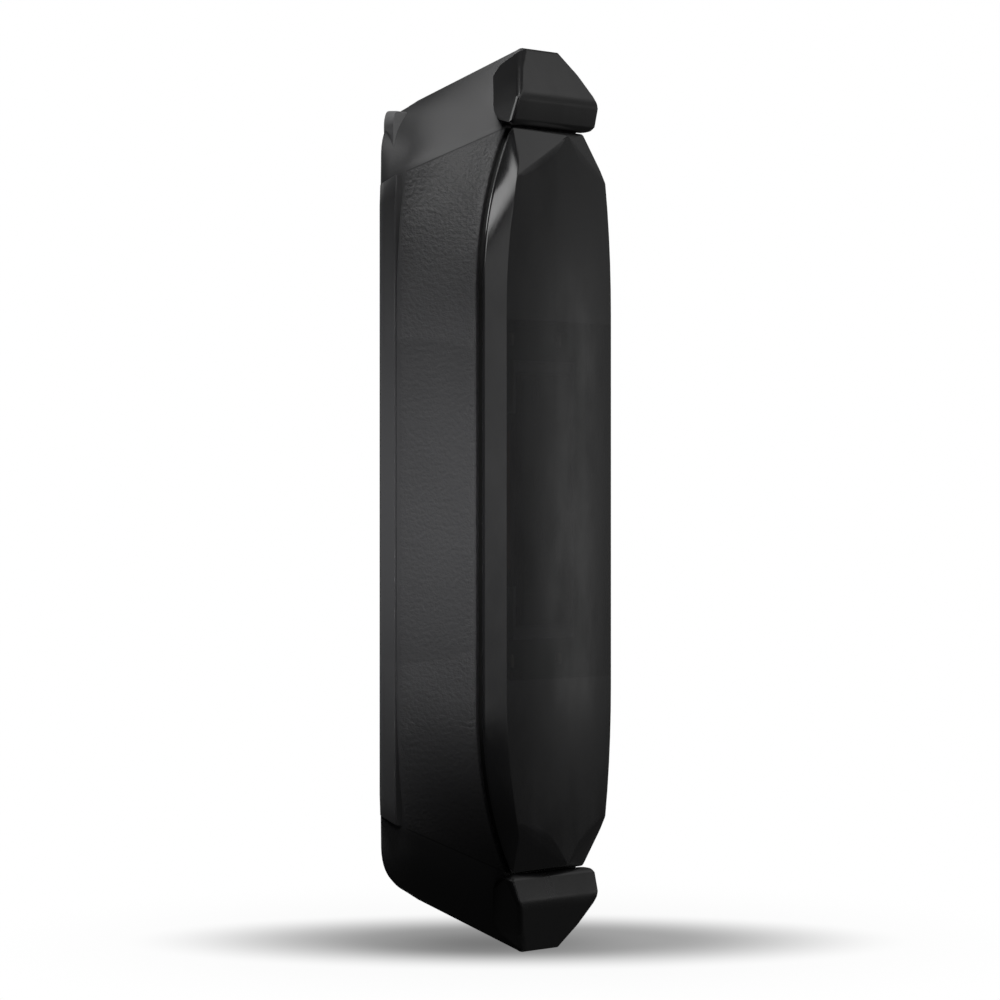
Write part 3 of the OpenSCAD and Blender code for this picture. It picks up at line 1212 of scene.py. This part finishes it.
def thread_strip(
    name: str, radii: Flat, depths: Flat, angles: Flat, lead: float, steps: int = 14
) -> bpy.types.Object:
    """A strip of quick thread, with tapered ends.

    Args:
        name: The piece's name.
        radii: Its inner and outer radius.
        depths: Its depth where it starts, and its thickness.
        angles: The angle where it starts and the angle that it spans, in degrees.
        lead: Its climb in a full turn.
        steps: How many facets it has.

    Returns:
        The piece.
    """
    rings = []
    for i in range(steps + 1):
        t = i / steps
        angle = math.radians(angles[0] + angles[1] * t)
        base = depths[0] + lead * angles[1] * t / 360
        thin = THREAD_END if i in (0, steps) else 1.0
        trim = (1 - thin) * depths[1] / 2
        corners = [(radii[0], base + trim), (radii[1], base + trim)]
        corners += [(radii[1], base + depths[1] - trim), (radii[0], base + depths[1] - trim)]
        rings.append([(r * math.cos(angle), d, r * math.sin(angle)) for r, d in corners])
    strip = draw_skin(name, rings)
    round_edges(strip, 0.06, 2, 35)
    shade(strip)
    return strip


# ---------------------------------------------------------------- pad


@dataclass
class PadShape:
    """The grip pad's outline, shared by the pad and its recess."""

    half_len: float
    half: float = 13.4
    tab_half: float = 13.6
    bottom: float = 17.6
    thick: float = 0.58
    hole: float = 12.5
    tab_fall: float = 4.1
    bottom_radius: float = 2.2
    tab_radius: float = 0.9
    corner_steps: int = 6

    @property
    def tab_top(self) -> float:
        """Height of the pull tab's edge."""
        return self.half_len - self.tab_fall

    def outline(self, grow: float) -> list[Flat]:
        """Draw the outline, with rounded corners.

        Args:
            grow: How far it is moved out.

        Returns:
            Its points, anticlockwise.
        """
        corners = [
            (self.half, -self.bottom, self.bottom_radius),
            (self.tab_half, self.tab_top, self.tab_radius),
            (-self.tab_half, self.tab_top, self.tab_radius),
            (-self.half, -self.bottom, self.bottom_radius),
        ]
        quarter = math.pi / 2
        out = []
        for k, (x, z, radius) in enumerate(corners):
            x -= math.copysign(radius, x)
            z -= math.copysign(radius, z)
            for i in range(self.corner_steps + 1):
                angle = (k - 1) * quarter + quarter * i / self.corner_steps
                out.append((x + (radius + grow) * math.cos(angle), z + (radius + grow) * math.sin(angle)))
        return out

    def recess(self) -> bpy.types.Object:
        """The cutter for the recess in the case's back, a trace tighter than the pad."""
        outline = self.outline(-0.02)
        return draw_skin("cutter", [[(x, d, z) for x, z in outline] for d in (-1.0, self.thick + 0.02)])


@dataclass
class GripPad:
    """The rubber pad on the back: grooved, with a hole round the door and a pull tab."""

    shape: PadShape
    rack: Rack
    groove_rows: Sequence[float] = (14.0, 15.2, 16.4)
    groove_half: float = 9.0
    groove_width: float = 0.4
    groove_depth: float = 0.2
    dots: Sequence[Flat] = ((0.0, 13.1), (3.4, 12.7))
    dot_radius: float = 0.35

    def build(self) -> None:
        """Build the pad."""
        outline = self.shape.outline(0.0)
        thick = self.shape.thick
        pad = draw_skin("grip_pad", [[(x, d, z) for x, z in outline] for d in (0.0, thick)])
        cut(pad, rod("cutter", self.shape.hole, (-1, 2), facets=128))
        for row in self.groove_rows:
            for s in (-1, 1):
                low = (-self.groove_half, -1, s * row - self.groove_width / 2)
                high = (self.groove_half, self.groove_depth, s * row + self.groove_width / 2)
                cut(pad, slab("cutter", low, high))
        for at in self.dots:
            cut(pad, rod("cutter", self.dot_radius, (-1, self.groove_depth), at, 20))
        round_edges(pad, 0.07, 2, 40)
        shade(pad)
        finish_piece(pad, self.rack, "pad", Body.POD, ["rear_pad"])


# ---------------------------------------------------------------- front


@dataclass
class Gasket:
    """The rubber ring between the case and the cover, set back from their edges."""

    shape: PodShape
    rack: Rack
    setback: float = 0.5
    width: float = 0.75
    depths: Flat = (5.79, 6.11)

    def build(self) -> None:
        """Build the ring."""
        outer = self.shape.rim_outline(self.setback)
        inner = self.shape.rim_outline(self.setback + self.width)
        ring = hoop("gasket_ring", outer, inner, self.depths)
        round_edges(ring, 0.06, 2, 50)
        shade(ring)
        finish_piece(ring, self.rack, "gasket", Body.POD, ["cover_gasket"])


@dataclass
class FrontCover:
    """The smoked cover: bevelled sides, a crowned front and gabled ends."""

    shape: PodShape
    rack: Rack
    back: float = 6.1
    front: float = 6.9
    crown: float = 0.5
    face_half: float = 12.0
    face_top: float = 18.75
    face_draw: float = 1.9
    draw_start: float = 11.0
    gable_half: float = 5.2
    gable_top: float = 21.3
    shoulders: Sequence[Point] = (
        (9.4, 6.95, 19.4),
        (8.6, 6.76, 20.15),
        (8.0, 6.59, 20.6),
        (7.2, 6.41, 21.1),
    )
    back_edge: Sequence[Flat] = ((0.0, 0.12), (0.12, 0.2))
    face_steps: int = 12
    gable_steps: int = 16
    skirt_insets: Flat = (1.46, 2.05)
    skirt_depth: float = 5.47

    def face_side(self, up: float) -> float:
        """Half width of the front face at a height."""
        share = max(0.0, up - self.draw_start) / (self.face_top - self.draw_start)
        return self.face_half - self.face_draw * share * share

    def crown_depth(self, across: float) -> float:
        """Depth of the crowned front."""
        return self.front + self.crown * (1 - (across / self.face_half) ** 2)

    def points(self) -> list[Point]:
        """Place the points that the cover's skin is stretched over.

        Returns:
            The points.
        """
        out: list[Point] = []
        for rise, inset in self.back_edge:
            out += [(x, self.back + rise, z) for x, z in self.shape.rim_outline(inset)]
        for s in (-1, 1):
            for i in range(self.face_steps + 1):
                up = self.face_top * i / self.face_steps
                side = self.face_side(up)
                out += [(t * side, self.crown_depth(side), s * up) for t in (-1, 1)]
            for i in range(self.gable_steps + 1):
                across = (2 * i / self.gable_steps - 1) * self.face_side(self.face_top)
                rise = max(0.0, 1 - abs(across) / self.gable_half)
                up = self.face_top + (self.gable_top - self.face_top) * rise
                out.append((across, self.crown_depth(across), s * up))
            out += [(t * x, d, s * z) for x, d, z in self.shoulders for t in (-1, 1)]
        return out

    def build(self) -> None:
        """Build the cover and its inner skirt."""
        cover = wrap_points("smoked_cover", self.points())
        round_edges(cover, 0.06, 2, 5)
        shade(cover, 20)
        finish_piece(cover, self.rack, "cover", Body.POD, ["front_cover"])
        outer, inner = (self.shape.rim_outline(inset) for inset in self.skirt_insets)
        skirt = hoop("cover_skirt", outer, inner, (self.skirt_depth, self.back + 0.02))
        shade(skirt)
        finish_piece(skirt, self.rack, "cover", Body.POD, ["front_cover"])


# ---------------------------------------------------------------- door and cell


@dataclass
class Door:
    """The battery door: a slotted disc with a skirt, three lugs and a sealing ring."""

    rack: Rack
    radius: float = 11.9
    out: float = 0.25
    inner: float = 1.2
    groove_radius: float = 11.48
    groove: Flat = (0.48, 0.96)
    skirt: Flat = (10.15, 10.9)
    skirt_top: float = 3.35
    lug_radius: float = 11.5
    lug_depth: float = 1.98
    lug_height: float = 0.5
    lead: float = 6.0
    lugs: int = 3
    lug_span: float = 50.0
    seal_radius: float = 11.72
    seal_cord: float = 0.22
    slot_half: Flat = (6.5, 0.85)
    slot_depth: float = 0.45
    arrow: Sequence[Flat] = ((0.0, 8.9), (-0.9, 7.3), (0.9, 7.3))
    arrow_depth: float = 0.15

    def build_disc(self) -> None:
        """The disc with its skirt, coin slot, arrow and rim notches."""
        profile = [
            (0.0, self.out),
            (9.6, self.out),
            (9.75, self.out + 0.12),
            (9.95, self.out + 0.12),
            (10.1, self.out),
            (self.radius - 0.12, self.out),
            (self.radius, self.out + 0.12),
            (self.radius, self.groove[0]),
            (self.groove_radius, self.groove[0]),
            (self.groove_radius, self.groove[1]),
            (self.radius, self.groove[1]),
            (self.radius, self.inner),
            (self.skirt[1], self.inner),
            (self.skirt[1], self.skirt_top - 0.12),
            (self.skirt[1] - 0.12, self.skirt_top),
            (self.skirt[0] + 0.12, self.skirt_top),
            (self.skirt[0], self.skirt_top - 0.12),
            (self.skirt[0], self.inner),
            (0.0, self.inner),
        ]
        disc = turn("door_disc", profile, 128)
        across, up = self.slot_half
        slot = slab("cutter", (-across, -1, -up), (across, self.out + self.slot_depth, up))
        round_edges(slot, 0.3, 3, 30)
        cut(disc, slot)
        depths = (-1.0, self.out + self.arrow_depth)
        cut(disc, draw_skin("cutter", [[(x, depth, z) for x, z in self.arrow] for depth in depths]))
        shade(disc, 35)
        finish_piece(disc, self.rack, "door", Body.DOOR, ["battery_door"])

    def build(self) -> None:
        """Build the disc, its lugs and the ring."""
        self.build_disc()
        for k in range(self.lugs):
            lug = thread_strip(
                f"door_lug_{k + 1}",
                (self.skirt[1] - 0.2, self.lug_radius),
                (self.lug_depth, self.lug_height),
                (360 * k / self.lugs, self.lug_span),
                self.lead,
            )
            finish_piece(lug, self.rack, "door", Body.DOOR, ["battery_door"])
        deselect()
        bpy.ops.mesh.primitive_torus_add(
            major_radius=self.seal_radius * MM,
            minor_radius=self.seal_cord * MM,
            major_segments=128,
            minor_segments=14,
            location=place(0, sum(self.groove) / 2, 0),
            rotation=(math.pi / 2, 0, 0),
        )
        seal = name_piece("sealing_ring")
        settle(seal)
        shade(seal, 60)
        finish_piece(seal, self.rack, "seal", Body.DOOR, ["door_seal"])


@dataclass
class CoinCell:
    """The coin cell: its can and its cap."""

    rack: Rack
    radius: float = 10.0
    base: float = 1.25
    top: float = 4.45
    cap_radius: float = 8.9
    seat: float = 0.75
    lip: float = 0.25
    plus_arm: Flat = (2.2, 0.28)
    plus_up: float = 4.2
    plus_depth: float = 0.06

    def build(self) -> None:
        """Build the can and the cap."""
        crimp = self.top - self.lip
        can = turn(
            "cell_can_drawn",
            [
                (0.0, self.base),
                (7.6, self.base),
                (7.7, self.base + 0.04),
                (7.9, self.base + 0.04),
                (8.0, self.base),
                (9.6, self.base),
                (9.88, self.base + 0.12),
                (self.radius, self.base + 0.4),
                (self.radius, crimp - 0.45),
                (9.86, crimp - 0.1),
                (9.6, crimp),
                (self.cap_radius + 0.35, crimp),
                (self.cap_radius + 0.35, self.top - self.seat),
                (0.0, self.top - self.seat),
            ],
        )
        for across, up in (self.plus_arm, self.plus_arm[::-1]):
            low = (-across, -1, self.plus_up - up)
            high = (across, self.base + self.plus_depth, self.plus_up + up)
            cut(can, slab("cutter", low, high))
        shade(can, 35)
        finish_piece(can, self.rack, "cell", Body.CELL, ["cell_can"])
        cap = turn(
            "cell_cap_drawn",
            [
                (0.0, self.top - self.seat),
                (self.cap_radius, self.top - self.seat),
                (self.cap_radius, self.top - 0.3),
                (self.cap_radius - 0.1, self.top - 0.14),
                (self.cap_radius - 0.35, self.top - 0.08),
                (self.cap_radius - 0.55, self.top),
                (0.0, self.top),
            ],
        )
        shade(cap, 35)
        finish_piece(cap, self.rack, "cell", Body.CELL, ["cell_cap"])


# ---------------------------------------------------------------- inner parts

NODE_FINISHES = {
    "cell_seal": "natural_nylon",
    "cell_cradle": "natural_nylon",
    "negative_contact": "contact",
    "positive_contact": "contact",
    "cell_insulator": "film",
    "main_board": "board",
    "board_screws": "screw",
    "display_frame": "bezel",
    "display_glass": "display",
    "display_driver": "chip",
    "display_flex": "film",
    "radio_module": "chip",
    "radio_shield": "tin",
    "chip_antenna": "ceramic",
    "motion_sensor": "chip",
    "timing_crystal": "tin",
    "status_led": "led",
    "reserve_capacitor": "resin",
    "board_passives": "tan",
}


def dress_nodes(frame: dict, rack: Rack) -> None:
    """Give each node that stays its finish.

    Args:
        frame: The loaded frame.
        rack: The finishes.
    """
    for node, finish in NODE_FINISHES.items():
        piece = frame["nodes"][node]
        for slot in piece.material_slots:
            slot.material = rack.get(finish)
        if not piece.material_slots:
            piece.data.materials.append(rack.get(finish))
        LOG.info("%s: dressed as %s", node, finish)


# ---------------------------------------------------------------- studio


@dataclass(frozen=True)
class Softbox:
    """A soft rectangular light, placed in the frame's millimetres as (x, y, z)."""

    name: str
    at: Point
    target: Point
    size: Flat
    power: float
    beam: float = 180.0
    mirrored: bool = True

    def build(self) -> None:
        """Hang the light."""
        data = bpy.data.lights.new(self.name, "AREA")
        data.shape = "RECTANGLE"
        data.size, data.size_y = self.size[0] * MM, self.size[1] * MM
        data.energy = self.power
        data.spread = math.radians(self.beam)
        light = bpy.data.objects.new(self.name, data)
        bpy.context.scene.collection.objects.link(light)
        light.location = Vector(self.at) * MM
        aim = (Vector(self.target) - Vector(self.at)).normalized()
        light.rotation_mode = "QUATERNION"
        light.rotation_quaternion = aim.to_track_quat("-Z", "Y")
        light.visible_camera = False
        light.visible_glossy = self.mirrored


SOFTBOXES = (
    Softbox("overhead", (5, -105, 400), (0, -3, 15), (260, 240), 0.524),
    Softbox("over_camera", (-170, -60, 330), (0, -3, 0), (160, 160), 0.62822),
    Softbox("side_spot", (-60, -14, 0), (-15, -3, 0), (12, 12), 0.003, 43, False),
    Softbox("far_tall", (500, -134, 0), (0, -7, 0), (90, 44), 0.0018),
    Softbox("gable_box", (425, -215, 140), (0, -7, 20), (300, 130), 0.024395),
    Softbox("front_fill", (150, -430, 190), (0, 0, 0), (240, 200), 0.5),
    Softbox("back_fill", (-150, 420, 220), (0, 0, 0), (260, 220), 0.9),
    Softbox("bevel_strip", (360, -355, 0), (0, -7, 0), (110, 200), 0.027483),
)


@dataclass
class Studio:
    """A pale floor, soft lights and the camera."""

    floor_up: float
    azimuth: float = -75.0
    distance: float = 0.72
    lens: float = 443.0
    sensor: float = 36.0
    aim: Point = (0.0, 3.29, 0.0)
    sky: float = 0.07547
    glow: Flat = (0.02, 0.04328)
    glow_reach: Flat = (0.35, 0.9)
    # Painted shadows on the floor, darkening its glow rather than cast by the lamps: each gives its middle,
    # half sizes, core share and darkness.
    shadows: Sequence[tuple[Flat, Flat, float, float]] = (
        ((21.5, 1.1), (50.0, 24.0), 0.35, 0.58),
        ((15.0, -0.6), (38.0, 11.0), 0.0, 0.17),
        ((25.0, 1.1), (120.0, 36.0), 0.0, 0.06),
    )

    def shadow_oval(
        self, tree: bpy.types.NodeTree, coords: bpy.types.NodeSocket, middle: Flat, half: Flat, core: float
    ) -> bpy.types.NodeSocket:
        """A soft oval of painted shadow on the floor, which lies along the camera's view.

        Args:
            tree: The floor's tree.
            coords: Object coordinates.
            middle: The oval's middle, along the view and across it.
            half: Its half sizes, along the view and across it.
            core: The share of it that is full.

        Returns:
            A number from 0 outside to 1 in its core.
        """
        angle = math.radians(90 + self.azimuth)
        along = Vector((math.cos(angle), math.sin(angle)))
        across = Vector((math.sin(angle), -math.cos(angle)))
        spot = Vector((self.aim[0], -self.aim[1])) + along * middle[0] + across * middle[1]
        values = {
            "Location": (spot[0] * MM, spot[1] * MM, self.floor_up * MM),
            "Rotation": (0, 0, angle),
            "Scale": (half[0] * MM, half[1] * MM, 1),
        }
        mapped = add_node(tree, "ShaderNodeMapping", {"vector_type": "TEXTURE"}, values, {"Vector": coords})
        reach = add_node(tree, "ShaderNodeVectorMath", {"operation": "LENGTH"}, None, {0: mapped.outputs[0]})
        settings = {"interpolation_type": "SMOOTHSTEP"}
        values = {"From Min": 1.0, "From Max": core, "To Min": 0.0, "To Max": 1.0}
        links = {"Value": reach.outputs["Value"]}
        return add_node(tree, "ShaderNodeMapRange", settings, values, links).outputs[0]

    def build_floor(self) -> None:
        """A pale floor with a painted soft shadow, which throws little light back up."""
        deselect()
        bpy.ops.mesh.primitive_plane_add(size=8, location=(0, 0, self.floor_up * MM))
        floor = name_piece("floor")
        settle(floor)
        material, tree, coords = start_material("pale_floor")
        level: object = 1.0
        # Each oval darkens the floor's glow: painted shadow.
        for middle, half, core, painted_shade in self.shadows:
            oval = self.shadow_oval(tree, coords, middle, half, core)
            level = calc(tree, "MULTIPLY_ADD", oval, -painted_shade, level)
        seen = add_node(tree, "ShaderNodeLightPath").outputs["Is Camera Ray"]
        pale = add_node(tree, "ShaderNodeEmission", None, {"Color": WHITE}, {"Strength": level})
        afar = add_node(tree, "ShaderNodeVectorMath", {"operation": "LENGTH"}, None, {0: coords})
        near, far = self.glow_reach
        values = {"From Min": near, "From Max": far, "To Min": self.glow[0], "To Max": self.glow[1]}
        glow = add_node(tree, "ShaderNodeMapRange", None, values, {"Value": afar.outputs["Value"]})
        dim = add_node(tree, "ShaderNodeEmission", None, {"Color": WHITE}, {"Strength": glow.outputs[0]})
        end_material(tree, blend_shaders(tree, seen, dim.outputs[0], pale.outputs[0]))
        floor.data.materials.append(material)

    def build_world(self) -> None:
        """White behind the object, and a dim sky for its reflections."""
        world = bpy.data.worlds.new("studio")
        bpy.context.scene.world = world
        world.use_nodes = True
        tree = world.node_tree
        tree.nodes.clear()
        dim = add_node(tree, "ShaderNodeBackground", None, {"Strength": self.sky})
        white = add_node(tree, "ShaderNodeBackground", None, {"Color": WHITE, "Strength": 1.0})
        seen = add_node(tree, "ShaderNodeLightPath").outputs["Is Camera Ray"]
        both = blend_shaders(tree, seen, dim.outputs[0], white.outputs[0])
        add_node(tree, "ShaderNodeOutputWorld", links={"Surface": both})

    def build_camera(self) -> None:
        """The camera, level with the pod's middle and almost square to its side."""
        data = bpy.data.cameras.new("camera")
        data.lens = self.lens
        data.sensor_width = self.sensor
        data.clip_start, data.clip_end = 0.01, 20
        camera = bpy.data.objects.new("camera", data)
        bpy.context.scene.collection.objects.link(camera)
        angle = math.radians(self.azimuth)
        back = Vector((math.sin(angle), -math.cos(angle), 0))
        camera.location = place(*self.aim) + back * self.distance
        camera.rotation_mode = "QUATERNION"
        camera.rotation_quaternion = (-back).to_track_quat("-Z", "Y")
        bpy.context.scene.camera = camera

    def build(self) -> None:
        """Build the floor, the world, the lights and the camera."""
        self.build_floor()
        self.build_world()
        for softbox in SOFTBOXES:
            softbox.build()
        self.build_camera()
        bpy.context.scene.view_settings.view_transform = "Standard"


# ---------------------------------------------------------------- main


def main() -> None:
    """Build every piece round the frame, then the studio."""
    logging.basicConfig(level=logging.INFO, format="%(name)s %(message)s")
    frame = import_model()
    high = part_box("rear_case")[1]
    shape = PodShape(half_len=high[2] / MM)
    rack = Rack()
    Studio(floor_up=-shape.half_len).build()
    Case(shape, rack).build()
    GripPad(PadShape(shape.half_len), rack).build()
    Gasket(shape, rack).build()
    FrontCover(shape, rack).build()
    Door(rack).build()
    CoinCell(rack).build()
    dress_nodes(frame, rack)
    deselect()


if __name__ == "__main__":
    main()
